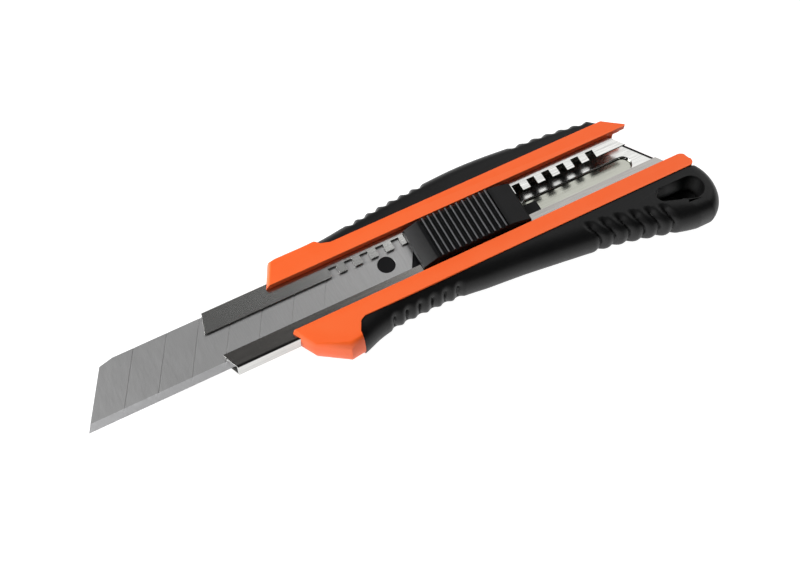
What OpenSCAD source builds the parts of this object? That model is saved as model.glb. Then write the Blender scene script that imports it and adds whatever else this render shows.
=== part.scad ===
// Utility knife: an 18 mm snap-off blade in a folded steel sleeve, held by a forked two-tone handle.
// Frame: +X towards the blade's tip, +Y towards its cutting edge, +Z out of the thumb button's side.
// Origin: on the flat of the back pad, on the blade's centre line, midway along the handle.
// Stored pose: four segments of blade out, with the thumb button pressed so that the slide is free.

/* [Blade] */
// Width of the blade
blade_w = 18; // [17:0.5:18]
// Thickness of the blade
blade_t = 0.5; // [0.4:0.05:0.5]
// Length of one snap-off segment
segment_l = 10; // [8:0.5:10]
// Number of snap-off segments
segment_count = 8; // [6:1:8]
// Width of the ground bevel along the cutting edge
bevel_w = 2.3; // [1.5:0.1:3]
// Radius of the hole that the carrier's peg fills
blade_hole_r = 2.65; // [2.65:0.05:2.8]

/* [Sleeve] */
// Outside width of the folded sleeve
sleeve_w = 20.4; // [20.2:0.1:20.8]
// Outside height of the folded sleeve
sleeve_h = 5.6; // [5.6:0.1:5.8]
// Thickness of the sheet steel
sheet_t = 0.6; // [0.5:0.05:0.6]
// Distance between rack notches
notch_pitch = 5; // [4.8:0.1:5]
// Width of one rack notch
notch_w = 2.5; // [2.4:0.1:2.6]
// Number of rack notches
notch_count = 18; // [12:1:18]

/* [Handle] */
// Thickness from the back of the body to the face of the arms
handle_t = 12.8; // [12.8:0.1:13.4]
// Gap between the two arms, where the thumb button runs
arm_gap = 15.8; // [15.4:0.1:16.4]
// Thickness of the rubber over the hard core
grip_wall = 2.2; // [1.6:0.1:2.6]
// Depth of the finger grooves in the grips
groove_d = 1.2; // [0.6:0.1:1.4]
// Thickness of the back pad
pad_t = 1.4; // [1.2:0.1:1.6]

/* [Thumb button] */
// Width of the thumb button
button_w = 13.4; // [12:0.2:14]
// Length of the thumb button along its foot
button_l = 35.5; // [35:0.5:36.5]
// Number of ridges across the thumb button
ridge_count = 12; // [8:1:12]
// Distance that the thumb button is pressed to free the slide
press_travel = 1.1; // [0.9:0.05:1.1]

/* [Hidden] */
$fn = 48;
far = 200;
run_gap = 0.3;

// Heights
body_z = 0.4;
face_z = handle_t;
sleeve_z = 5.1;
sleeve_top_z = sleeve_z + sleeve_h;
floor_z = sleeve_z + sheet_t;
lip_z = sleeve_top_z - sheet_t;
blade_top_z = lip_z - 0.2;
blade_z = blade_top_z - blade_t;

// Blade
hole_x = 32;
tip_x = hole_x + segment_count * segment_l + 14.5;
slant = tan(30);
blade_rear_x = hole_x - 8.5;

// Sleeve
slot_low_y = -3.3;
slot_high_y = 4.8;
notch_low_y = -6.1;
first_notch_x = 46.4;
rear_slant = 0.7;
rear_x = -55.4;
recess_d = 0.8;
recess_r = 2.4;
recess_y = 0.1;
recess_front_x = -15.4;
recess_rear_x = -47.8;
rivet_xs = [2, 38];
rivet_r = 1.5;
rivet_head_r = 2.1;

// Handle outline at its widest level, with +X forward. The spine side has y below zero.
arm_low_y = -12.6;
arm_high_y = 12.8;
spine_keys = [
    [60, -16.3], [47, -16.9], [34, -18], [22, -19.2], [10, -19.9], [0, -20.3], [-9, -20],
    [-20, -19.1], [-28, -18.6], [-37, -17.6], [-44, -16.2]
];
edge_keys = [
    [49.4, 20.1], [42, 17.8], [36, 16.8], [28, 16.5], [16, 16.7], [8, 17.7], [-4, 18.8],
    [-16, 20.3], [-24, 21.4], [-33, 22.8], [-42, 25], [-51, 27.3], [-57, 28.5]
];
nose_points = [[53, 20.6], [61.6, 14.8]];
front_points = [[65.4, 8], [67.2, -6.8], [62.4, -15.9]];
rear_points = [[-52.6, -8.8], [-60.4, 7.4]];
butt_x = -60;
butt_y = 18.8;
butt_rx = 6.7;
butt_ry = 9.9;
// Height above the body's lowest level, and how far the outline draws in there
edge_levels = [[0, 2.6], [1.2, 0.8], [4, 0], [8, 0.2], [10.6, 0.9], [11.7, 1.8], [handle_t - body_z, 2.8]];
outline_step = 5;

// Finger grooves: first and last x, and count, of each run
spine_runs = [[35.1, 12.2, 7], [-19.8, -41.6, 6]];
edge_runs = [[36.7, 16.5, 6], [-27.2, -48.8, 6]];
groove_r = 1.7;

// Hang hole: a large and a small end
hang_big = [-58.4, 19.2, 3.8];
hang_small = [-49.9, 17.6, 2.4];
hang_liner = 1.4;

// Carrier and thumb button
carrier_w = 17.8;
carrier_z = floor_z + run_gap;
carrier_top_z = lip_z - run_gap;
carrier_front_x = hole_x + 6;
button_front_x = 23.5;
button_rear_x = button_front_x - button_l;
carrier_rear_x = button_rear_x + 0.4;
tail_rear_x = carrier_rear_x - 5;
post_y = 2.2;
post_r = 1.4;
post_xs = [15.5, -4.5];
post_bore_r = post_r + 0.08;
spring_seat_z = 7.3;
post_end_z = 9.2;
neck_top_z = 12.1;
button_z = sleeve_top_z + run_gap;
button_roof_z = neck_top_z + 0.6;
button_top_z = 14;
ridge_h = 0.6;
ridge_pitch = 1.87;
ridge_front_x = 17.2;

latch_low_x = 10.6;
latch_high_x = 13.4;
latch_z = 9.1;

// Lock spring: a steel leaf with a tooth that rises into the rack
tooth_x = 6.4;
leaf_t = 0.5;
leaf_z = 8;
leaf_low_y = -6.2;
leaf_high_y = -0.9;
leaf_root_x = -8.6;
leaf_tip_x = 9;
tooth_h = 1.1;
tooth_w = 1.6;

// Back pad
pad_l = 84;
pad_w = 16;
pad_corner_r = 4;
pad_groove_pitch = 8;
pad_groove_w = 2;

// Coil springs under the thumb button
spring_wire_r = 0.15;
spring_coil_r = 1.1;
spring_turns = 3;
spring_sides = 6;
spring_steps = 14;

// y on a smooth curve through keys that run towards smaller x
function key_before(keys, x) = max([for (i = [0:len(keys) - 2]) x <= keys[i][0] ? i : 0]);
function curve_y(keys, x) =
    let (
        i = key_before(keys, x),
        t = (keys[i][0] - x) / (keys[i][0] - keys[i + 1][0]),
        a = keys[max(i - 1, 0)][1],
        b = keys[i][1],
        c = keys[i + 1][1],
        d = keys[min(i + 2, len(keys) - 1)][1]
    )
    b + 0.5 * t * ((c - a) + t * ((2 * a - 5 * b + 4 * c - d) + t * (3 * (b - c) + d - a)));

function curve_points(keys) =
    let (first = keys[0][0], last = keys[len(keys) - 1][0], n = ceil((first - last) / outline_step))
    [for (i = [0:n]) let (x = first + (last - first) * i / n) [x, curve_y(keys, x)]];

function reversed(list) = [for (i = [len(list) - 1:-1:0]) list[i]];

// The round butt, from the rear of the slanted end to the start of the edge side
butt_points = [
    for (a = [-60:20:80]) [butt_x - butt_rx * cos(a), butt_y + butt_ry * sin(a)]
];

outline = concat(
    curve_points(spine_keys), rear_points, butt_points, reversed(curve_points(edge_keys)),
    nose_points, front_points
);

// Outward normal of the outline's edge from point i, for an outline that runs clockwise
function edge_normal(i) =
    let (n = len(outline), d = outline[(i + 1) % n] - outline[(i + n) % n])
    [-d[1], d[0]] / norm(d);

// The outline drawn in by a distance, with mitred corners
function inset_outline(inset) = [
    for (i = [0:len(outline) - 1])
        let (a = edge_normal(i - 1), b = edge_normal(i)) outline[i] - inset * (a + b) / (1 + a * b)
];

// The whole handle's outside, with rounded edges and grooved sides
module handle_outside() {
    n = len(outline);
    top = len(edge_levels) - 1;
    points = [
        for (level = edge_levels) for (p = inset_outline(level[1])) [p[0], p[1], body_z + level[0]]
    ];
    sides = [
        for (k = [0:top - 1], i = [0:n - 1])
            let (j = (i + 1) % n)
            [k * n + j, (k + 1) * n + j, (k + 1) * n + i, k * n + i]
    ];
    ends = [[for (i = [n - 1:-1:0]) i], [for (i = [0:n - 1]) top * n + i]];
    polyhedron(points, concat(sides, ends), convexity = 8);
}

// Everything outside these lines on the spine side and on the edge side is rubber
module upper_grip_region() {
    translate([0, 0, -1])
        linear_extrude(handle_t + 2)
            polygon([
                [48.6, -far], [48, -15.4], [46.2, -13.5], [43.4, arm_low_y], [-far, arm_low_y], [-far, -far]
            ]);
}

module lower_grip_region() {
    translate([0, 0, -1])
        linear_extrude(handle_t + 2)
            polygon([
                [51.4, far], [48.4, 16.6], [46.8, 13.6], [45.2, arm_high_y], [-far, arm_high_y], [-far, far]
            ]);
}

// The hard core that the rubber is moulded over
module grip_core() {
    translate([0, 0, body_z + grip_wall])
        linear_extrude(handle_t - body_z - 2 * grip_wall)
            polygon(inset_outline(grip_wall + groove_d));
}

// A teardrop: a large and a small circle joined by their tangents
function arc(c, r, from, to) = [for (k = [0:12]) let (a = from + (to - from) * k / 12) c + r * [cos(a), sin(a)]];
module teardrop(big, small, grow) {
    c1 = [big[0], big[1]];
    c2 = [small[0], small[1]];
    d = c2 - c1;
    along = atan2(d[1], d[0]);
    tangent = acos((big[2] - small[2]) / norm(d));
    polygon(concat(
        arc(c1, big[2] + grow, along + tangent, along + 360 - tangent),
        arc(c2, small[2] + grow, along - tangent, along + tangent)
    ));
}

module hang_hole(grow) {
    translate([0, 0, -1])
        linear_extrude(handle_t + 2)
            teardrop(hang_big, hang_small, grow);
}

// A strip along X, from the slanted line through x = line_x to x = end_x
module behind_line(line_x, half_w, end_x) {
    polygon([
        [line_x + rear_slant * half_w, -half_w], [end_x, -half_w], [end_x, half_w],
        [line_x - rear_slant * half_w, half_w]
    ]);
}

// A box given by its low and high corners
module block(low, high) {
    translate(low) cube(high - low);
}

module handle_body() color("orangered") difference() {
    union() {
        difference() {
            handle_outside();
            upper_grip_region();
            lower_grip_region();
        }
        grip_core();
    }
    // Channel that holds the sleeve, the carrier's way out behind it, and the gap between the arms
    linear_height(sleeve_z, sleeve_top_z) behind_line(rear_x, sleeve_w / 2, far);
    block([-far, -carrier_w / 2 - 0.4, floor_z], [far, carrier_w / 2 + 0.4, sleeve_top_z]);
    block([-far, -arm_gap / 2, sleeve_top_z - 0.01], [far, arm_gap / 2, far]);
    // The back wall ends just inside the sleeve's slanted rear edge
    linear_extrude(far) behind_line(rear_x + 1, arm_gap / 2, -far);
    // Pocket under the sleeve's pressed recess, and the one for the back pad
    floor_recess(sleeve_z - recess_d - 0.05, sleeve_z + 0.01, sheet_t + 0.05);
    pad_shape(body_z - 1, pad_t, 0.05);
    for (x = rivet_xs) translate([x, 0, 0]) cylinder(h = sleeve_z, r = rivet_r + 0.03);
    hang_hole(hang_liner);
}

// Finger grooves across one side of the grips
module finger_grooves(keys, runs, side) {
    for (run = runs, i = [0:run[2] - 1])
        let (x = run[0] + (run[1] - run[0]) * i / (run[2] - 1))
            translate([x, curve_y(keys, x) + side * (groove_r - groove_d), -1])
                cylinder(h = handle_t + 2, r = groove_r, $fn = 12);
}

module upper_grip() color("dimgray") difference() {
    intersection() {
        upper_grip_region();
        handle_outside();
    }
    grip_core();
    finger_grooves(spine_keys, spine_runs, -1);
}

module lower_grip() color("dimgray") difference() {
    intersection() {
        handle_outside();
        lower_grip_region();
    }
    difference() {
        grip_core();
        hang_hole(hang_liner);
    }
    hang_hole(0);
    finger_grooves(edge_keys, edge_runs, 1);
}

// Back pad: a long rounded rubber panel with shallow grooves across it
module pad_shape(low, high, clearance) {
    half_l = pad_l / 2 + clearance;
    half_w = pad_w / 2 + clearance;
    r = pad_corner_r + clearance;
    for (sx = [-1, 1], sy = [-1, 1])
        translate([sx * (half_l - r), sy * (half_w - r), low]) cylinder(h = high - low, r = r);
    block([-half_l + r, -half_w, low], [half_l - r, half_w, high]);
    block([-half_l, -half_w + r, low], [half_l, half_w - r, high]);
}

module back_pad() color("dimgray") difference() {
    pad_shape(0, pad_t, 0);
    for (i = [-4:-1], s = [-1, 1])
        translate([s * i * pad_groove_pitch, 0, -0.01])
            block([-pad_groove_w / 2, -pad_w / 2 + 2, 0], [pad_groove_w / 2, pad_w / 2 - 2, 0.4]);
}

// Cross-section of the folded sleeve, with x across the knife and y up
module sleeve_section() {
    fold_r = 0.9;
    inner_r = fold_r - sheet_t;
    difference() {
        rounded_rectangle(sleeve_w, sleeve_h, fold_r);
        translate([0, sheet_t]) rounded_rectangle(sleeve_w - 2 * sheet_t, sleeve_h - 2 * sheet_t, inner_r);
        translate([slot_low_y, sleeve_h - 2 * sheet_t])
            square([slot_high_y - slot_low_y, 3 * sheet_t]);
    }
}

// A rectangle centred across and standing on y = 0, with round corners
module rounded_rectangle(w, h, r) {
    translate([-w / 2 + r, 0]) square([w - 2 * r, h]);
    translate([-w / 2, r]) square([w, h - 2 * r]);
    for (x = [-w / 2 + r, w / 2 - r], y = [r, h - r]) translate([x, y]) circle(r);
}

// Seen from above: slanted lips in front and the slanted cut behind
module sleeve_plan() {
    half = sleeve_w / 2 + 1;
    polygon([
        [84.9, -half], [87, slot_low_y], [86.4, 0], [85, slot_high_y], [84.3, 6.9], [82.4, half],
        [rear_x - rear_slant * half, half], [rear_x + rear_slant * half, -half]
    ]);
}

// Long recess with round ends, pressed down into the floor of the sleeve, grown by a distance
module floor_recess(low, high, grow) {
    r = recess_r + grow;
    for (x = [recess_rear_x, recess_front_x])
        translate([x, recess_y, low]) cylinder(h = high - low, r = r);
    block([recess_rear_x, recess_y - r, low], [recess_front_x, recess_y + r, high]);
}

module blade_sleeve() color("silver") difference() {
    union() {
        intersection() {
            translate([-far / 2, 0, sleeve_z])
                rotate([90, 0, 90])
                    linear_extrude(far)
                        sleeve_section();
            linear_extrude(far) sleeve_plan();
        }
        floor_recess(sleeve_z - recess_d, sleeve_z + 0.01, sheet_t);
    }
    floor_recess(floor_z - recess_d, floor_z + 0.01, 0);
    // The lips stop short of the floor at the rear
    translate([rear_x, 0, floor_z + 0.2])
        rotate([0, 0, atan(rear_slant)])
            rotate([0, 31, 0])
                block([-far / 4, -far / 4, 0], [0, far / 4, far / 4]);
    for (i = [0:notch_count - 1])
        translate([first_notch_x - i * notch_pitch, 0, lip_z - 0.1])
            block([-notch_w / 2, notch_low_y, 0], [notch_w / 2, slot_low_y + 0.1, sheet_t + 0.2]);
    for (x = rivet_xs) translate([x, 0, 0]) rivet_shape(sleeve_z - 0.01, 0.05);
}

// A flush rivet, or the countersunk hole for one, which is wider by a clearance
module rivet_shape(from_z, clearance) {
    translate([0, 0, from_z]) cylinder(h = sleeve_z - from_z + 0.01, r = rivet_r + clearance);
    translate([0, 0, sleeve_z])
        cylinder(h = sheet_t + clearance, r1 = rivet_r + clearance, r2 = rivet_head_r + 2 * clearance);
}

module sleeve_rivets() color("gainsboro") for (x = rivet_xs) translate([x, 0, 0]) rivet_shape(pad_t, 0);

// Cross-section of the blade, with x across the knife and y up
module blade_section() {
    edge_t = 0.06;
    half = blade_w / 2;
    polygon([
        [-half, 0], [half - bevel_w, 0], [half, (blade_t - edge_t) / 2], [half, (blade_t + edge_t) / 2],
        [half - bevel_w, blade_t], [-half, blade_t]
    ]);
}

module blade_plan() {
    half = blade_w / 2;
    rise = half * slant;
    tip_spine_x = tip_x - 2 * rise;
    polygon([
        [tip_x, half], [tip_spine_x + 0.6, -half + 1], [tip_spine_x - 3.6, -half],
        [blade_rear_x - rise, -half], [blade_rear_x + rise, half]
    ]);
}

module snap_off_blade() color("lightsteelblue") difference() {
    intersection() {
        translate([0, 0, blade_z])
            rotate([90, 0, 90])
                linear_extrude(tip_x)
                    blade_section();
        linear_extrude(far) blade_plan();
    }
    for (i = [1:segment_count - 1])
        translate([tip_x - i * segment_l - blade_w / 2 * slant, 0, blade_top_z - 0.12])
            rotate([0, 0, -30])
                block([-0.15, -far / 8, 0], [0.15, far / 8, 1]);
    translate([hole_x, 0, 0]) cylinder(h = far, r = blade_hole_r);
}

module blade_carrier() color("black") difference() {
    union() {
        // Bed under the blade, with the peg that fills the blade's hole
        block(
            [carrier_rear_x, -carrier_w / 2, carrier_z], [carrier_front_x, carrier_w / 2, blade_z - 0.05]
        );
        translate([hole_x, 0, blade_z - 0.1]) cylinder(h = blade_t + 0.1, r = blade_hole_r - 0.06);
        // Full height behind the blade's slanted end
        linear_height(blade_z - 0.1, carrier_top_z) polygon([
            [blade_rear_x - run_gap - carrier_w / 2 * slant, -carrier_w / 2],
            [blade_rear_x - run_gap + carrier_w / 2 * slant, carrier_w / 2],
            [carrier_rear_x, carrier_w / 2], [carrier_rear_x, -carrier_w / 2]
        ]);
        // Tail beside the rack
        block([tail_rear_x, 0.9, carrier_z], [carrier_rear_x + 0.1, 4.4, carrier_top_z]);
        // Neck that stands up through the sleeve's slot into the thumb button
        block([-9, 0.1, carrier_z + 1], [19.5, 4.3, neck_top_z]);
    }
    // Pocket for the lock spring, and the slot for its bent root
    block([leaf_root_x + 0.7, leaf_low_y - 0.4, leaf_z - 0.5], [leaf_tip_x + 0.6, -0.4, far]);
    block([leaf_root_x - 0.3, leaf_low_y - 0.4, leaf_z - 1.4], [leaf_root_x + 0.8, -0.4, far]);
    for (x = post_xs) translate([x, post_y, spring_seat_z]) cylinder(h = far, r = post_bore_r);
    // Pocket and undercut for the thumb button's latch
    block([latch_low_x - 0.3, -1.1, latch_z - 0.3], [latch_high_x + 0.3, 0.2, far]);
    block([latch_low_x - 0.3, 0, latch_z - 0.3], [latch_high_x + 0.3, 1, latch_z + 0.55 + press_travel]);
}

module linear_height(low, high) {
    translate([0, 0, low]) linear_extrude(high - low) children();
}

module lock_spring() color("steelblue") union() {
    block([leaf_root_x, leaf_low_y, leaf_z], [leaf_tip_x, leaf_high_y, leaf_z + leaf_t]);
    block([leaf_root_x, leaf_low_y, leaf_z - 1], [leaf_root_x + leaf_t, leaf_high_y, leaf_z + leaf_t]);
    block(
        [tooth_x - tooth_w / 2 + 0.1, notch_low_y + 0.25, leaf_z + leaf_t - 0.01],
        [tooth_x + tooth_w / 2 + 0.1, slot_low_y - 0.2, leaf_z + leaf_t + tooth_h]
    );
}

// Side view of the thumb button, with x along the knife and y up
module button_side() {
    polygon([
        [button_front_x, button_z], [button_front_x - 0.4, button_z + 1], [ridge_front_x + 2, button_top_z],
        [button_rear_x + 6.2, button_top_z], [button_rear_x + 0.6, button_z + 1.2],
        [button_rear_x, button_z]
    ]);
}

module thumb_button() color("black") union() {
    difference() {
        union() {
            rotate([90, 0, 0])
                translate([0, 0, -button_w / 2])
                    linear_extrude(button_w)
                        button_side();
            for (i = [0:ridge_count - 1])
                translate([ridge_front_x - i * ridge_pitch, button_w / 2, button_top_z - 0.01])
                    rotate([90, 0, 0])
                        linear_extrude(button_w)
                            polygon([[-0.6, 0], [-0.35, ridge_h], [0.35, ridge_h], [0.6, 0]]);
        }
        // Hollow underside
        block([-9.6, -button_w / 2 + 1.2, 0], [20.1, button_w / 2 - 1.2, button_roof_z]);
    }
    for (x = post_xs)
        translate([x, post_y, post_end_z]) cylinder(h = button_roof_z - post_end_z + 0.1, r = post_r);
    // Latch that hooks under the carrier's neck and holds the button on
    block([latch_low_x, -0.8, latch_z], [latch_high_x, -0.05, button_roof_z + 0.1]);
    block([latch_low_x, -0.1, latch_z], [latch_high_x, 0.7, latch_z + 0.5]);
    // Foot that presses the leaf down
    block([tooth_x - 1, -2.8, leaf_z + leaf_t + 0.12], [tooth_x + 1, -1.1, button_roof_z + 0.1]);
}

// A compression spring's wire, swept round a helix
module coil_spring(low, high) {
    rings = spring_turns * spring_steps;
    rise = high - low - 2 * spring_wire_r - 0.04;
    points = [
        for (i = [0:rings]) let (a = 360 * i / spring_steps)
            for (k = [0:spring_sides - 1])
                let (b = 360 * k / spring_sides, r = spring_coil_r + spring_wire_r * cos(b))
                [r * cos(a), r * sin(a), low + spring_wire_r + 0.02 + rise * i / rings + spring_wire_r * sin(b)]
    ];
    sides = [
        for (i = [0:rings - 1], k = [0:spring_sides - 1])
            let (a = i * spring_sides, b = a + spring_sides, j = (k + 1) % spring_sides)
            each [[a + k, b + k, b + j], [a + k, b + j, a + j]]
    ];
    ends = [
        [for (k = [0:spring_sides - 1]) k], [for (k = [spring_sides - 1:-1:0]) rings * spring_sides + k]
    ];
    polyhedron(points, concat(sides, ends), convexity = 6);
}

module button_spring(x) color("gainsboro") translate([x, post_y, 0]) coil_spring(spring_seat_z, post_end_z);

module front_button_spring() button_spring(post_xs[0]);
module rear_button_spring() button_spring(post_xs[1]);

handle_body();
upper_grip();
lower_grip();
back_pad();
blade_sleeve();
sleeve_rivets();
snap_off_blade();
blade_carrier();
lock_spring();
thumb_button();
front_button_spring();
rear_button_spring();
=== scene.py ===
import math

import bmesh
import bpy
import numpy as np
from mathutils import Matrix, Vector


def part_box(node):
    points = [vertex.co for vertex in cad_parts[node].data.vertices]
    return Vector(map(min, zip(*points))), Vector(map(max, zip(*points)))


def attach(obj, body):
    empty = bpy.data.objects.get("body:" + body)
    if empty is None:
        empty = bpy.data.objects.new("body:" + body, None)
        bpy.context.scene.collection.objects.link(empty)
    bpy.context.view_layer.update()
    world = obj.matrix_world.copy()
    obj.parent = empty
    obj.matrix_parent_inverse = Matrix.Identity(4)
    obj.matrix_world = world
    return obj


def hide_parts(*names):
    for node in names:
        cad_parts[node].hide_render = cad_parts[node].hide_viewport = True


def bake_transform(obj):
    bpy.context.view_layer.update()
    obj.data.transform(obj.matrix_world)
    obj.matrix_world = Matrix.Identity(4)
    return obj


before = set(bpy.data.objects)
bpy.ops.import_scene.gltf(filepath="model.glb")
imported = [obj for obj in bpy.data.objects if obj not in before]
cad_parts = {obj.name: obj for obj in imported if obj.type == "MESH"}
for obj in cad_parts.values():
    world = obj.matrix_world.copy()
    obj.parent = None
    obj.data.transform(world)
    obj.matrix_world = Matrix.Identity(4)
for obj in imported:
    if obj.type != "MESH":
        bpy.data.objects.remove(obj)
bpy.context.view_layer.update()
scene = bpy.context.scene
MM = 0.001
FAR = 90  # millimetres, well outside the knife


# ---------------------------------------------------------------- mesh helpers
def add_object(name, mesh):
    ob = bpy.data.objects.new(name, mesh)
    scene.collection.objects.link(ob)
    return ob


def build(name, points, faces):
    """A mesh object from points in millimetres."""
    mesh = bpy.data.meshes.new(name)
    mesh.from_pydata([tuple(c * MM for c in p) for p in points], [], faces)
    mesh.validate()
    ob = add_object(name, mesh)
    outward(ob)
    return ob


def outward(ob):
    """Turns every face of a closed mesh to look outwards."""
    bm = bmesh.new()
    bm.from_mesh(ob.data)
    bmesh.ops.recalc_face_normals(bm, faces=bm.faces)
    bm.to_mesh(ob.data)
    bm.free()


def drum(name, bottom, top):
    """A closed solid between two loops of the same number of points."""
    n = len(bottom)
    faces = [list(range(n))[::-1], list(range(n, 2 * n))]
    faces += [(i, (i + 1) % n, n + (i + 1) % n, n + i) for i in range(n)]
    return build(name, bottom + top, faces)


def prism(name, outline, low, high):
    return drum(name, [(x, y, low) for x, y in outline], [(x, y, high) for x, y in outline])


def block(name, low, high):
    (x0, y0, z0), (x1, y1, z1) = low, high
    return prism(name, [(x0, y0), (x1, y0), (x1, y1), (x0, y1)], z0, z1)


def shell(name, rings):
    """A closed solid through rings of points in millimetres, with flat ends."""
    n = len(rings[0])
    points = [tuple(p) for ring in rings for p in ring]
    faces = []
    for k in range(len(rings) - 1):
        a, b = k * n, (k + 1) * n
        faces += [(a + i, a + (i + 1) % n, b + (i + 1) % n, b + i) for i in range(n)]
    faces.append(list(range(n))[::-1])
    faces.append(list(range((len(rings) - 1) * n, len(rings) * n)))
    return build(name, points, faces)


def apply_modifiers(ob):
    bpy.context.view_layer.update()
    graph = bpy.context.evaluated_depsgraph_get()
    mesh = bpy.data.meshes.new_from_object(ob.evaluated_get(graph))
    ob.modifiers.clear()
    ob.data = mesh


def combine(ob, others, operation):
    """Joins other solids to ob, or cuts them out of it, and removes them."""
    for other in others:
        mod = ob.modifiers.new("combine", "BOOLEAN")
        mod.operation = operation
        mod.solver = "MANIFOLD"
        mod.object = other
        apply_modifiers(ob)
        bpy.data.objects.remove(other)


def bevel(ob, width, segments, angle):
    """Rounds the edges that are sharper than angle, in degrees, by a width in millimetres."""
    if not width:
        return
    mod = ob.modifiers.new("bevel", "BEVEL")
    mod.width = width * MM
    mod.segments = segments
    mod.limit_method = "ANGLE"
    mod.angle_limit = math.radians(angle)
    mod.use_clamp_overlap = True
    mod.miter_outer = "MITER_ARC"
    apply_modifiers(ob)


def smooth(ob, angle=35):
    """Smooth shading that leaves large flat faces flat."""
    ob.data.shade_smooth()
    ob.data.set_sharp_from_angle(angle=math.radians(angle))
    mod = ob.modifiers.new("flats", "WEIGHTED_NORMAL")
    mod.keep_sharp = True
    apply_modifiers(ob)


def tidy(ob, distance=0.002, angle=0.5):
    """Welds a mesh and joins its flat faces, so that a bevel runs cleanly along the real edges."""
    bm = bmesh.new()
    bm.from_mesh(ob.data)
    bmesh.ops.remove_doubles(bm, verts=bm.verts, dist=distance * MM)
    bmesh.ops.dissolve_limit(
        bm, angle_limit=math.radians(angle), verts=bm.verts, edges=bm.edges,
        use_dissolve_boundaries=False,
    )
    bm.to_mesh(ob.data)
    bm.free()


def finish_shape(ob, width, segments, angle, smooth_angle):
    """Cleans, bevels and shades a piece that was cut from an outline."""
    tidy(ob, 0.01, 0.2)
    bevel(ob, width, segments, angle)
    smooth(ob, smooth_angle)


def from_cad(cad_node, width=0, segments=2, smooth_angle=35):
    """A copy of a CAD node's own shape, bevelled where a width is given."""
    ob = add_object(cad_node + "_visual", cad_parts[cad_node].data.copy())
    ob.data.materials.clear()
    tidy(ob)
    bevel(ob, width, segments, 30)
    smooth(ob, smooth_angle)
    return ob


def place(ob, cad_node, body, material):
    """Puts a piece in a CAD node's place, on a body and with its material."""
    ob.data.materials.clear()
    ob.data.materials.append(material)
    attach(ob, body)
    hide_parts(cad_node)


def ease(t):
    """From 0 to 1 with a gentle start and end."""
    t = np.clip(t, 0, 1)
    return t * t * (3 - 2 * t)


def through(a, b, c, d, t):
    """A point between b and c, on the smooth curve through a, b, c and d."""
    return b + 0.5 * t * ((c - a) + t * ((2 * a - 5 * b + 4 * c - d) + t * (3 * (b - c) + d - a)))


# ---------------------------------------------------------------- material nodes
def feed(tree, socket, value):
    """Sets a socket to a value, or links another node's output to it."""
    if isinstance(value, bpy.types.NodeSocket):
        tree.links.new(value, socket)
    else:
        socket.default_value = value


def new_material(name):
    mat = bpy.data.materials.new(name)
    mat.use_nodes = True
    tree = mat.node_tree
    tree.nodes.clear()
    out = tree.nodes.new("ShaderNodeOutputMaterial")
    shader = tree.nodes.new("ShaderNodeBsdfPrincipled")
    tree.links.new(shader.outputs["BSDF"], out.inputs["Surface"])
    return mat, tree, shader


def node(tree, kind, **inputs):
    made = tree.nodes.new(kind)
    for key, value in inputs.items():
        feed(tree, made.inputs[key.replace("_", " ")], value)
    return made


def axes(tree, source="Object"):
    """The x, y and z outputs of a texture coordinate. Object coordinates are in metres."""
    where = node(tree, "ShaderNodeTexCoord").outputs[source]
    return node(tree, "ShaderNodeSeparateXYZ", Vector=where).outputs


def noise(tree, stretch, scale, detail, roughness=0.5):
    """Noise in millimetres, stretched along each axis."""
    where = node(tree, "ShaderNodeTexCoord").outputs["Object"]
    mapping = node(
        tree, "ShaderNodeMapping", Vector=where, Scale=tuple(s / MM for s in stretch)
    )
    return node(
        tree, "ShaderNodeTexNoise", Vector=mapping.outputs["Vector"],
        Scale=scale, Detail=detail, Roughness=roughness,
    ).outputs["Fac"]


def span(tree, value, low, high, low_out=0.0, high_out=1.0):
    """Maps low to high onto low_out to high_out, and stays there beyond them."""
    return node(
        tree, "ShaderNodeMapRange",
        Value=value, From_Min=low, From_Max=high, To_Min=low_out, To_Max=high_out,
    ).outputs["Result"]


def mix_colour(tree, factor, a, b):
    made = tree.nodes.new("ShaderNodeMix")
    made.data_type = "RGBA"
    # By number, because the node's number, vector and colour sockets share their names
    for index, value in ((0, factor), (6, a), (7, b)):
        feed(tree, made.inputs[index], value)
    return made.outputs[2]


def maths(tree, operation, a, b):
    made = tree.nodes.new("ShaderNodeMath")
    made.operation = operation
    for socket, value in zip(made.inputs, (a, b)):
        feed(tree, socket, value)
    return made.outputs[0]


def bump(tree, shader, height, distance):
    made = node(tree, "ShaderNodeBump", Height=height, Distance=distance * MM, Strength=1.0)
    tree.links.new(made.outputs["Normal"], shader.inputs["Normal"])


# ---------------------------------------------------------------- materials
EVEN = (1, 1, 1)
WORN_EDGE = 0.52, 0.64  # pointiness where wear starts, and where it is full
WORN_SHARE, CLOUD_SHARE = 0.35, 0.25  # how far they turn the colour to the paler one

# Where the looks change on a piece, in millimetres
BEVEL_Y = 6.62, 6.72  # the blade's ground bevel
FLOOR_Z = 5.7  # top of the sleeve's floor
LIP_Y, LIP_Z = (4.6, 4.9), (10.1, 10.6)  # the sleeve's lip on the edge side
REAR_X, REAR_SLANT = -55.4, 0.7  # the sleeve's rear end: x at y = 0, and its lean
BUTTON_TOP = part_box("thumb_button")[1].z / MM


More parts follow.
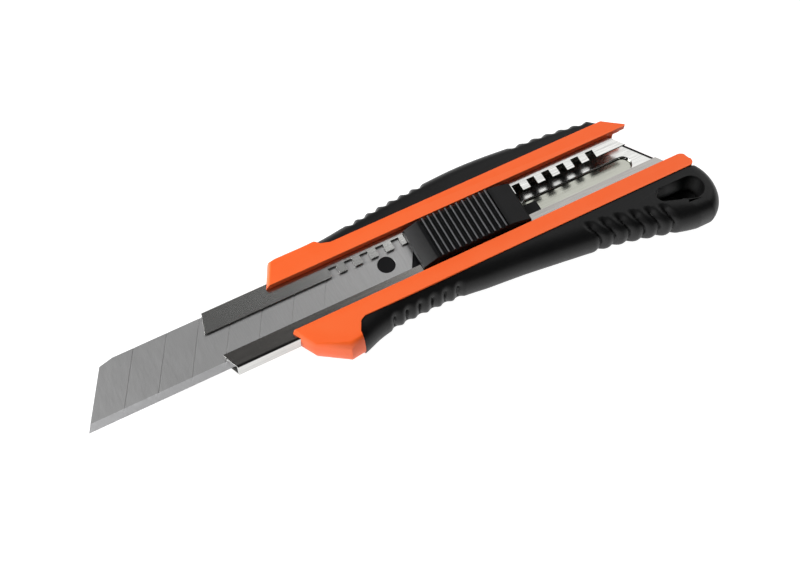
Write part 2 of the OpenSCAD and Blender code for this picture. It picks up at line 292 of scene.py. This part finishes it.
def plastic(name, colour, pale, roughness, grain, depth, specular, zones=None):
    """Moulded plastic or rubber: faint clouds, a fine grain and paler worn edges."""
    mat, tree, shader = new_material(name)
    cloud = noise(tree, EVEN, scale=0.12, detail=3.0)
    worn = span(tree, node(tree, "ShaderNodeNewGeometry").outputs["Pointiness"], *WORN_EDGE)
    base = mix_colour(tree, span(tree, cloud, 0.35, 0.7, 0.0, CLOUD_SHARE), colour, pale)
    base = mix_colour(tree, maths(tree, "MULTIPLY", worn, WORN_SHARE), base, pale)
    if zones:
        base = zones(tree, base)
    tree.links.new(base, shader.inputs["Base Color"])
    fine = noise(tree, EVEN, scale=grain, detail=2.0)
    rough = span(tree, fine, 0.3, 0.7, roughness - 0.05, roughness + 0.06)
    tree.links.new(rough, shader.inputs["Roughness"])
    bump(tree, shader, fine, depth)
    shader.inputs["Specular IOR Level"].default_value = specular
    return mat


def steel(name, colour, dark, roughness, stretch, scale, depth, zones=None):
    """Bare steel: drawn streaks that change the colour, gloss and height, and faint clouds."""
    mat, tree, shader = new_material(name)
    shader.inputs["Metallic"].default_value = 1.0
    streak = noise(tree, stretch, scale, detail=6.0, roughness=0.6)
    cloud = noise(tree, EVEN, scale=0.09, detail=3.0)
    base = mix_colour(tree, span(tree, streak, 0.3, 0.7), dark, colour)
    base = mix_colour(tree, span(tree, cloud, 0.5, 0.75, 0.0, 0.3), base, dark)
    if zones:
        base = zones(tree, base)
    tree.links.new(base, shader.inputs["Base Color"])
    rough = span(tree, streak, 0.3, 0.7, roughness + 0.05, roughness - 0.05)
    tree.links.new(rough, shader.inputs["Roughness"])
    bump(tree, shader, streak, depth)
    return mat


def reached(tree, value, low, high):
    """0 at low and 1 at high, both in millimetres, for a coordinate in metres."""
    return span(tree, value, low * MM, high * MM)


def blade_zones(tree, base):
    """The ground bevel is painted brighter than the flat, a painted highlight that lifts the shade
    its tilt gives it, with fine lines across it.
    """
    ground = reached(tree, axes(tree)["Y"], *BEVEL_Y)
    lines = noise(tree, (1, 0.03, 1), scale=9.0, detail=3.0)
    # Painted highlight: a brighter steel colour for the ground bevel
    brightened_ground = mix_colour(tree, lines, (0.72, 0.72, 0.73, 1), (0.84, 0.84, 0.85, 1))
    return mix_colour(tree, ground, base, brightened_ground)


def crest_highlights(tree, base):
    """Painted highlight: the crests of the button's ridges are painted paler, as lit lines."""
    # Painted highlight on the ridge crests
    crest = reached(tree, axes(tree)["Z"], BUTTON_TOP - 0.16, BUTTON_TOP - 0.06)
    return mix_colour(tree, crest, base, (0.1, 0.1, 0.105, 1))


def sleeve_zones(tree, base):
    """Painted shade: the edge-side lip is painted darker and browner, the pressed floor darker,
    and a painted black shadow runs along the floor's rear edge.
    """
    x, y, z = (axes(tree)[axis] for axis in "XYZ")
    # Painted shade: the edge-side lip is made darker and browner, as if in shade
    lip = maths(tree, "MULTIPLY", reached(tree, y, *LIP_Y), reached(tree, z, *LIP_Z))
    lip_shade = maths(tree, "MULTIPLY", lip, 0.85)
    base = mix_colour(tree, lip_shade, base, (0.29, 0.275, 0.26, 1))
    # Painted shade: the pressed floor is made darker
    pressed = reached(tree, z, FLOOR_Z - 0.45, FLOOR_Z - 0.6)
    base = mix_colour(tree, pressed, base, (0.38, 0.385, 0.34, 1))
    # Painted shadow: a black strip on the floor just before its slanted rear edge
    along = maths(tree, "ADD", x, maths(tree, "MULTIPLY", y, REAR_SLANT))
    rear_shadow = reached(tree, along, REAR_X + 0.95, REAR_X + 0.75)
    rear_shadow = maths(tree, "MULTIPLY", rear_shadow, reached(tree, z, FLOOR_Z + 0.7, FLOOR_Z + 0.3))
    return mix_colour(tree, rear_shadow, base, (0.012, 0.012, 0.012, 1))


orange = plastic(
    "orange_plastic", (0.95, 0.122, 0.014, 1), (0.95, 0.165, 0.04, 1),
    roughness=0.42, grain=5.0, depth=0.008, specular=0.4,
)
rubber = plastic(
    "grip_rubber", (0.0038, 0.0038, 0.004, 1), (0.01, 0.01, 0.01, 1),
    roughness=0.42, grain=3.2, depth=0.02, specular=0.26,
)
BLACK = dict(
    colour=(0.0036, 0.0036, 0.004, 1), pale=(0.012, 0.012, 0.013, 1),
    roughness=0.38, grain=6.0, depth=0.008, specular=0.14,
)
black = plastic("black_plastic", **BLACK)
ridged = plastic("ridged_plastic", **BLACK, zones=crest_highlights)
pad = plastic(
    "pad_rubber", (0.005, 0.005, 0.0055, 1), (0.012, 0.012, 0.012, 1),
    roughness=0.5, grain=4.0, depth=0.02, specular=0.3,
)
sleeve_steel = steel(
    "sleeve_steel", (0.66, 0.66, 0.64, 1), (0.5, 0.5, 0.49, 1),
    roughness=0.2, stretch=(0.04, 1, 1), scale=2.6, depth=0.004, zones=sleeve_zones,
)
blade_steel = steel(
    "blade_steel", (0.58, 0.58, 0.58, 1), (0.5, 0.5, 0.5, 1),
    roughness=0.42, stretch=(1, 0.05, 1), scale=5.0, depth=0.003, zones=blade_zones,
)
rivet_steel = steel(
    "rivet_steel", (0.62, 0.62, 0.6, 1), (0.4, 0.4, 0.39, 1),
    roughness=0.32, stretch=EVEN, scale=2.0, depth=0.006,
)
spring_steel = steel(
    "spring_steel", (0.5, 0.5, 0.5, 1), (0.35, 0.35, 0.36, 1),
    roughness=0.3, stretch=(0.1, 1, 1), scale=4.0, depth=0.003,
)

# ---------------------------------------------------------------- handle outline, in millimetres
BODY_Z = 0.4  # the handle's back, above the pad that the knife rests on
FACE_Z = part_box("handle_body")[1].z / MM
SPINE = [
    (60, -16.3), (47, -16.4), (34, -17.9), (22, -19.2), (10, -19.9), (0, -20.3), (-9, -20),
    (-20, -19.1), (-28, -18.6), (-37, -17.6), (-44, -16.2),
]
EDGE = [
    (49.4, 20.1), (42, 17.8), (36, 16.8), (28, 16.5), (16, 16.7), (8, 17.7), (-4, 18.8),
    (-16, 20.3), (-24, 21.4), (-33, 22.8), (-42, 25), (-51, 27.3), (-57, 28.5),
]
CURVE_STEP = 0.25
REAR_CORNERS = [(-52.6, -8.8), (-62.4, 7.4)]
BUTT_CENTRE, BUTT_RADII = (-60, 18.8), (6.7, 9.9)
NOSE_CORNERS = [(53, 20.6), (61.6, 14.8), (65.4, 8), (67.2, -6.8), (62.4, -15.9)]


def curve(keys):
    """Points on a smooth curve through keys that run towards smaller x."""
    first, last = keys[0][0], keys[-1][0]
    count = math.ceil((first - last) / CURVE_STEP)
    points = []
    for k in range(count + 1):
        x = first + (last - first) * k / count
        i = max(j for j in range(len(keys) - 1) if x <= keys[j][0])
        t = (keys[i][0] - x) / (keys[i][0] - keys[i + 1][0])
        heights = [keys[min(max(j, 0), len(keys) - 1)][1] for j in range(i - 1, i + 3)]
        points.append((x, through(*heights, t)))
    return points


def rounded(points, steps=6):
    """A smooth curve through a few points."""
    points = [np.array(p, float) for p in points]
    ends = [2 * points[0] - points[1]] + points + [2 * points[-1] - points[-2]]
    made = [
        through(*four, k / steps)
        for four in zip(ends, ends[1:], ends[2:], ends[3:]) for k in range(steps)
    ]
    return [tuple(p) for p in made + [points[-1]]]


def polyline(corners, step):
    """Points about a step apart between the first and the last corner, without those two."""
    points = []
    for a, b in zip(corners, corners[1:]):
        count = max(1, math.ceil(math.dist(a, b) / step))
        points += [
            (a[0] + (b[0] - a[0]) * k / count, a[1] + (b[1] - a[1]) * k / count)
            for k in range(count)
        ]
    return points[1:]


def handle_outline(step):
    """The handle's outline, clockwise, with points a step apart along its straight sides."""
    spine, edge = curve(SPINE), curve(EDGE)[::-1]
    (cx, cy), (rx, ry) = BUTT_CENTRE, BUTT_RADII
    butt = [
        (cx - rx * math.cos(math.radians(a)), cy + ry * math.sin(math.radians(a)))
        for a in range(-60, 81, 3)
    ]
    rear = polyline([spine[-1], *REAR_CORNERS, butt[0]], step)
    nose = polyline([edge[-1], *NOSE_CORNERS, spine[0]], step)
    return np.array(spine + rear + butt + edge + nose)


OUTLINE = handle_outline(FAR)
FINE_OUTLINE = handle_outline(0.6)


def mitres(points):
    """Outward mitre at each point of an outline that runs clockwise."""
    ahead = np.roll(points, -1, 0) - points
    ahead /= np.linalg.norm(ahead, axis=1)[:, None]
    normal = np.stack([-ahead[:, 1], ahead[:, 0]], 1)
    before = np.roll(normal, 1, 0)
    return (normal + before) / (1 + (normal * before).sum(1))[:, None]


def soft_normals(points, reach=18):
    """Outward directions that turn gradually round the corners of an outline."""
    raw = mitres(points)
    total = sum(np.roll(raw, k, 0) for k in range(-reach, reach + 1))
    return total / np.linalg.norm(total, axis=1)[:, None]


# ---------------------------------------------------------------- handle surfaces
# The orange wall's profile: height above the back, and how far it stands in from the outline
WALL = [
    (0, 2.4), (0.3, 1.6), (0.8, 0.95), (1.6, 0.5), (2.8, 0.18), (4, 0), (6, 0.05), (8, 0.25),
    (9.6, 0.62), (10.6, 0.98), (11.3, 1.35), (11.8, 1.75), (12.1, 2.1), (12.3, 2.45),
    (12.4, 2.9),
]
WALL_TOP = WALL[-1][0]
GUARD_DEPTH, GUARD_TOP = 2.9, 5.4  # how far the finger guard is cut under, and up to where


def hard_outside(name):
    """The orange moulding's outside: nearly upright walls that round over into the faces."""
    out = mitres(OUTLINE)
    x, y = OUTLINE[:, 0], OUTLINE[:, 1]
    # The walls stand in less on the spine side, and least at the nose and at the rear
    lean = np.where(y > 0, 0.3 + 0.55 * ease((62.5 - x) / 9), 0.6)
    lean = lean * (1 - np.where(y > 0, 0.8, 0.7) * ease((-46 - x) / 6))
    guard = np.where((y > 5) & (x > 46), ease((x - 46) / 4), 0)
    rings = []
    for height, inset in WALL:
        under = GUARD_DEPTH * float(ease((GUARD_TOP - height) / GUARD_TOP)) ** 0.8
        p = OUTLINE - out * (inset * lean + under * guard)[:, None]
        z = BODY_Z + height * (FACE_Z - BODY_Z) / WALL_TOP
        rings.append(np.column_stack([p, np.full(len(p), z)]))
    return shell(name, rings)


# Each run of finger grooves: first x, last x, count, distance from the outline where a groove
# starts on the face, how far it leans to the rear on its way out, half width and depth
SPINE_RUNS = [(35.1, 12.2, 7, 2.9, 0.0, 1.91, 2.2), (-19.8, -41.6, 6, 2.9, 0.0, 2.1, 2.0)]
EDGE_RUNS = [(36.7, 16.5, 6, 2.3, 0.6, 1.9, 1.9), (-23.7, -45.3, 6, 6.6, -3.6, 2.0, 1.6)]

# The rubber's round: how far in from the outline it ends on each side and at the nose, the
# height of its middle, and how square it is
EDGE_ROUND, SPINE_ROUND, NOSE_ROUND = 6.2, 5.0, 2.0
ROUND_MIDDLE, ROUND_HALF = 6.3, (FACE_Z - BODY_Z) / 2 - 0.1
ROUND_POWER = 2 / 2.3
# How much further in than the round the flat back and the flat face reach
BACK_SPREAD = (1.36, 1.24, 1.12)
FACE_SPREAD = (1.06, 1.12, 1.18, 1.24, 1.3, 1.36)


def groove_depth(x, runs, distance):
    """How deep the finger grooves are at points x, at a plan distance in from the outline."""
    depth = np.zeros_like(x)
    for first, last, count, start, lean, half, deep in runs:
        out = start - distance
        past_end = np.clip((half - out) / half, 0, None)
        for i in range(count):
            centre = first + (last - first) * i / (count - 1)
            centre = centre + lean * np.clip(out / start, 0, 1)
            across = np.clip(np.hypot((x - centre) / half, past_end), 0, 1)
            depth = np.maximum(depth, deep * (1 - np.sqrt(1 - (1 - across) ** 2)) ** 0.7)
    return depth


def soft_outside(name):
    """The rubber's outside: a full round from face to face, with the finger grooves pressed in."""
    out = soft_normals(FINE_OUTLINE)
    x, y = FINE_OUTLINE[:, 0], FINE_OUTLINE[:, 1]
    # The round is narrower towards the rear, and narrowest at the nose
    edge_side = EDGE_ROUND - 1.9 * ease((-46 - x) / 14)
    spine_side = SPINE_ROUND - 1.5 * ease((-36 - x) / 8)
    wide = np.where(x > 52, NOSE_ROUND, np.where(y > 0, edge_side, spine_side))
    steps = [(-90, s) for s in BACK_SPREAD] + [(a, 1) for a in np.linspace(-90, 90, 49)]
    steps += [(90, s) for s in FACE_SPREAD]
    rings = []
    for angle, spread in steps:
        a = math.radians(angle)
        share = abs(math.cos(a)) ** ROUND_POWER if abs(angle) < 90 else 0
        rise = math.copysign(abs(math.sin(a)) ** ROUND_POWER, a)
        inset = wide * (1 - share) * spread
        edge_depth = groove_depth(x, EDGE_RUNS, inset)
        depth = np.where(y > 0, edge_depth, groove_depth(x, SPINE_RUNS, inset))
        # A groove goes inwards on the side of the round, and down into the face
        level = float(ease(abs(rise) ** 2))
        p = FINE_OUTLINE - out * (inset + depth * (1 - level))[:, None]
        z = ROUND_MIDDLE + ROUND_HALF * rise - math.copysign(1, rise) * depth * level
        rings.append(np.column_stack([p, z]))
    return shell(name, rings)


# ---------------------------------------------------------------- handle cuts
# The sleeve's channel through the handle, and the arms' inner walls beside it
sleeve_low, sleeve_high = (corner.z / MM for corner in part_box("blade_sleeve"))
CHANNEL_HALF, WAY_HALF, GAP_HALF = 10.2, 9.3, 7.9
ARM_LOW, ARM_HIGH = -12.6, 12.8
UPPER = [
    (48.6, -FAR), (48, -15.4), (46.2, -13.5), (43.4, ARM_LOW), (-FAR, ARM_LOW), (-FAR, -FAR),
]
LOWER = [
    (51.4, FAR), (48.4, 16.6), (46.8, 13.6), (45.2, ARM_HIGH), (-FAR, ARM_HIGH), (-FAR, FAR),
]
# The arms' rounded rear tips, each closed by corners outside the handle
UPPER_TIP = rounded([
    (-49.3, -11.7), (-50.8, -10.6), (-52.1, -9.5), (-52.5, -8.7), (-52.3, -8.1),
    (-51.6, -7.82), (-50.4, -7.75),
]) + [(-49.4, -6.5), (-58, -6.5), (-58, -15), (-49.3, -15)]
UNDER_UPPER_TIP = [(-47.6, -12.55), (-58, -12.55), (-58, -7.5), (-50.6, -7.5)]
LOWER_TIP = rounded([
    (-57.5, 7.8), (-60.4, 7.86), (-61.6, 8.2), (-62.5, 8.9), (-63.0, 9.8), (-63.3, 10.8),
    (-63.3, 11.8), (-62.9, 12.5), (-62.2, 12.9),
]) + [(-70, 12.9), (-70, 4), (-57.5, 4)]
BELOW, ABOVE = -5, 20  # past both faces of the handle
# The hard core inside the grips: in from the outline, and in from the faces
CORE_INSET, CORE_DEPTH = 4.2, 2.6
LINER = 1.4  # thickness of the rubber round the hang hole
# The hang hole's profile: height, and how far the hole is wider there
HOLE = [(-1, -2.1), (3.0, -2.1), (3.5, -0.2), (11, -0.05), (FACE_Z + 1, 0.1)]
# The long recess pressed into the sleeve's floor
RECESS_FRONT, RECESS_REAR, RECESS_Y, RECESS_RADIUS = -15.4, -47.8, 0.1, 2.4


def teardrop(grow):
    """The hang hole's outline: two circles and the lines that touch both."""
    c1, r1, c2, r2 = np.array([-58.4, 19.2]), 3.8, np.array([-49.9, 17.6]), 2.4
    d = c2 - c1
    heading = math.atan2(d[1], d[0])
    tangent = math.acos((r1 - r2) / math.hypot(*d))
    big = np.linspace(heading + tangent, heading + 2 * math.pi - tangent, 40)
    small = np.linspace(heading - tangent, heading + tangent, 24)
    ring = [c1 + (r1 + grow) * np.array([math.cos(a), math.sin(a)]) for a in big]
    ring += [c2 + (r2 + grow) * np.array([math.cos(a), math.sin(a)]) for a in small]
    return [tuple(p) for p in ring]


def hang_hole():
    """A hole that narrows towards a lip at the knife's back."""
    return shell("hang", [[(x, y, z) for x, y in teardrop(grow)] for z, grow in HOLE])


def core():
    """The orange core inside the grips, on every fourth point of the outline."""
    inner = (OUTLINE - mitres(OUTLINE) * CORE_INSET)[::4]
    return prism("core", [tuple(p) for p in inner], BODY_Z + CORE_DEPTH, FACE_Z - CORE_DEPTH)


def recess(grow):
    """The recess's outline, a slot with round ends."""
    radius = RECESS_RADIUS + grow
    ring = []
    for end, side in ((RECESS_FRONT, 1), (RECESS_REAR, -1)):
        for a in np.linspace(-math.pi / 2, math.pi / 2, 17):
            reach = side * radius
            ring.append((end + reach * math.cos(a), RECESS_Y + reach * math.sin(a)))
    return ring


def slanted(x, half, end):
    """A strip from the slanted line through x to end."""
    lean = REAR_SLANT * half
    return [(x + lean, -half), (end, -half), (end, half), (x - lean, half)]


# ---------------------------------------------------------------- handle
body = hard_outside("handle_body_visual")
arms = [prism("upper", UPPER, BELOW, ABOVE), prism("lower", LOWER, BELOW, ABOVE)]
combine(body, arms, "DIFFERENCE")
combine(body, [core()], "UNION")
cuts = [
    prism("channel", slanted(REAR_X, CHANNEL_HALF, FAR), sleeve_low, sleeve_high),
    block("way", (-FAR, -WAY_HALF, FLOOR_Z), (FAR, WAY_HALF, sleeve_high)),
    block("gap", (-FAR, -GAP_HALF, sleeve_high - 0.01), (FAR, GAP_HALF, 30)),
    prism("rear", slanted(REAR_X + 1, GAP_HALF, -FAR)[::-1], -1, 30),
    block("pad", (-42, -8, -1), (42, 8, 1.4)),
    prism("pocket", recess(0.65), sleeve_low - 0.9, sleeve_low + 0.1),
    prism("liner", teardrop(LINER), -1, 30),
    prism("upper_tip", UPPER_TIP, -1, 30),
    prism("under_upper_tip", UNDER_UPPER_TIP, -1, sleeve_high + 0.3),
    prism("lower_tip", LOWER_TIP, -1, 30),
]
combine(body, cuts, "DIFFERENCE")
finish_shape(body, 0.3, segments=3, angle=38, smooth_angle=40)
place(body, "handle_body", "handle", orange)

upper = soft_outside("upper_grip_visual")
combine(upper, [prism("upper", UPPER, BELOW, ABOVE)], "INTERSECT")
combine(upper, [core()], "DIFFERENCE")
finish_shape(upper, 0.2, segments=2, angle=50, smooth_angle=50)
place(upper, "upper_grip", "handle", rubber)

lower = soft_outside("lower_grip_visual")
combine(lower, [prism("lower", LOWER, BELOW, ABOVE)], "INTERSECT")
lined = core()
combine(lined, [prism("liner", teardrop(LINER), BELOW, ABOVE)], "DIFFERENCE")
combine(lower, [lined, hang_hole()], "DIFFERENCE")
finish_shape(lower, 0.35, segments=3, angle=50, smooth_angle=50)
place(lower, "lower_grip", "handle", rubber)


# ---------------------------------------------------------------- sleeve
RIM = 0.4  # radius of the recess's rim
LIP_FRONT = np.array([84.7, -11.95]), np.array([87.3, -2.17])  # the spine-side lip's front edge
CHAMFER = (-0.34, 0.001), (0.2, -0.27), (0.2, 0.5), (-0.34, 0.5)  # ahead of it, and above it


def rim_cutter():
    """A plug for the recess, with a rounded flare at the floor."""
    rings = []
    for a in np.linspace(0, math.pi / 2, 6):
        z = FLOOR_Z - RIM + (RIM + 0.002) * math.sin(a)
        rings.append([(x, y, z) for x, y in recess(RIM * (1 - math.cos(a)))])
    rings.append([(x, y, FLOOR_Z + 0.4) for x, y in recess(RIM)])
    return shell("rim", rings)


def lip_cutter():
    """A bar along the front edge of the spine-side lip, which chamfers it."""
    a, b = LIP_FRONT
    along = (b - a) / np.linalg.norm(b - a)
    out = np.array([along[1], -along[0]])
    near, far = ([(*(p + out * reach), sleeve_high + z) for reach, z in CHAMFER] for p in (a, b))
    return drum("lip_front", near, far)


def sleeve():
    """The CAD sleeve, with the recess's rim rounded and the front of one lip chamfered."""
    ob = from_cad("blade_sleeve")
    combine(ob, [rim_cutter(), lip_cutter()], "DIFFERENCE")
    tidy(ob)
    bevel(ob, 0.07, 2, 30)
    smooth(ob)
    return ob


# ---------------------------------------------------------------- thumb button
RIDGES, RIDGE_PITCH, FIRST_RIDGE = 12, 1.87, 17.2
RIDGE_DEPTH = 1.05
RIDGE_MARGIN = 0.95  # from the outermost ridges to the ends of the ridged field


def thumb_button():
    """The CAD button with its ridges cut away and remade narrower, with deep valleys."""
    ob = from_cad("thumb_button")
    low, high = (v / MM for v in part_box("thumb_button"))
    base = high.z - RIDGE_DEPTH
    half = (high.y - low.y) / 2
    front = FIRST_RIDGE + RIDGE_MARGIN
    rear = FIRST_RIDGE - RIDGE_PITCH * (RIDGES - 1) - RIDGE_MARGIN
    field = block("field", (rear, -half - 1, base), (front, half + 1, high.z + 1))
    combine(ob, [field], "DIFFERENCE")
    # Half of a ridge's section: distance from its middle, and height
    flank = [(0.62, base - 0.3), (0.3, high.z - 0.22), (0.16, high.z)]
    section = flank + [(-x, z) for x, z in flank[::-1]]
    combs = []
    for i in range(RIDGES):
        middle = FIRST_RIDGE - RIDGE_PITCH * i
        ends = ([(middle + x, y, z) for x, z in section] for y in (-half, half))
        combs.append(drum("ridge", *ends))
    combine(ob, combs, "UNION")
    tidy(ob)
    bevel(ob, 0.1, 2, 30)
    smooth(ob)
    return ob


# ---------------------------------------------------------------- button springs
WIRE, COIL_RADIUS, TURNS = 0.15, 1.1, 3.2
COIL_STEPS, WIRE_SIDES = 120, 12
CLOSED = 0.12  # share of the turns that lies flat at each end


def coil(cad_node):
    """A round-wire compression spring in the CAD spring's place, with closed ends."""
    low, high = (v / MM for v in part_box(cad_node))
    centre = (low + high) / 2
    rise = high.z - low.z - 2 * WIRE
    rings = []
    for i in range(COIL_STEPS + 1):
        t = i / COIL_STEPS
        a = 2 * math.pi * TURNS * t
        open_share = (t - CLOSED) / (1 - 2 * CLOSED)
        climb = float(ease(open_share) * 0.35 + np.clip(open_share, 0, 1) * 0.65)
        lift = low.z + WIRE + rise * climb
        ring = []
        for k in range(WIRE_SIDES):
            b = 2 * math.pi * k / WIRE_SIDES
            r = COIL_RADIUS + WIRE * math.cos(b)
            z = lift + WIRE * math.sin(b)
            ring.append((centre.x + r * math.cos(a), centre.y + r * math.sin(a), z))
        rings.append(ring)
    ob = shell(cad_node + "_visual", rings)
    smooth(ob, 60)
    ob.data.materials.append(spring_steel)
    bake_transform(ob)
    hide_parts(cad_node)


# ---------------------------------------------------------------- pieces on the CAD's own shape
place(from_cad("back_pad", 0.2), "back_pad", "handle", pad)
place(sleeve(), "blade_sleeve", "handle", sleeve_steel)
place(from_cad("sleeve_rivets", 0.1), "sleeve_rivets", "handle", rivet_steel)
blade = from_cad("snap_off_blade", 0.03, segments=1, smooth_angle=3)
place(blade, "snap_off_blade", "slide", blade_steel)
place(from_cad("blade_carrier", 0.12), "blade_carrier", "slide", black)
place(from_cad("lock_spring", 0.06), "lock_spring", "lock", spring_steel)
place(thumb_button(), "thumb_button", "button", ridged)
coil("front_button_spring")
coil("rear_button_spring")

# ---------------------------------------------------------------- floor and light
WHITE = (1, 1, 1, 1)
FLOOR_HALF = 4000

corners = [(-1, -1), (1, -1), (1, 1), (-1, 1)]
floor = build("floor", [(x * FLOOR_HALF, y * FLOOR_HALF, 0) for x, y in corners], [(0, 1, 2, 3)])
floor_mat, _, floor_shader = new_material("floor_white")
for socket, value in (
    ("Base Color", (0.3, 0.3, 0.3, 1)), ("Roughness", 0.9), ("Specular IOR Level", 0.1),
    ("Emission Color", WHITE), ("Emission Strength", 1.0),
):
    floor_shader.inputs[socket].default_value = value
floor.data.materials.append(floor_mat)

# A dim room, paler towards -y and near the horizon
world = bpy.data.worlds.new("studio")
scene.world = world
world.use_nodes = True
sky = world.node_tree
background = sky.nodes["Background"]
background.inputs["Color"].default_value = WHITE
sky_axes = axes(sky, "Generated")
ceiling = span(sky, sky_axes["Y"], 0.15, -0.35, 0.015, 0.13)
horizon = span(sky, sky_axes["Z"], 0.26, 0.02, 0.0, 0.75)
sky.links.new(maths(sky, "ADD", ceiling, horizon), background.inputs["Strength"])


def softbox(name, at, side, power):
    """A square area light that faces the knife."""
    light = bpy.data.lights.new(name, "AREA")
    light.shape = "RECTANGLE"
    light.size = light.size_y = side
    light.energy = power
    ob = bpy.data.objects.new(name, light)
    scene.collection.objects.link(ob)
    ob.location = at
    ob.rotation_euler = (-Vector(at)).to_track_quat("-Z", "Y").to_euler()


softbox("panel_rear", (-0.72, -0.42, 0.74), side=1.0, power=4.2)
softbox("key_front", (0.95, -0.35, 0.75), side=0.6, power=20.5)

# ---------------------------------------------------------------- camera
CAMERA_AT = (0.1179, 0.1725, 0.3659)
CAMERA_RIGHT = (-0.88722678, 0.46133125, 0.00145492)
CAMERA_AHEAD = (-0.21450085, -0.40972927, -0.88662919)

camera = bpy.data.objects.new("camera", bpy.data.cameras.new("camera"))
scene.collection.objects.link(camera)
scene.camera = camera
camera.data.lens = 63.8
camera.data.sensor_width = 36
camera.data.clip_start = 0.01
right, ahead = Vector(CAMERA_RIGHT).normalized(), Vector(CAMERA_AHEAD).normalized()
down = ahead.cross(right).normalized()
turn = Matrix((right, -down, -ahead)).transposed().to_4x4()
camera.matrix_world = Matrix.Translation(CAMERA_AT) @ turn

scene.view_settings.view_transform = "Standard"
scene.view_settings.look = "None"
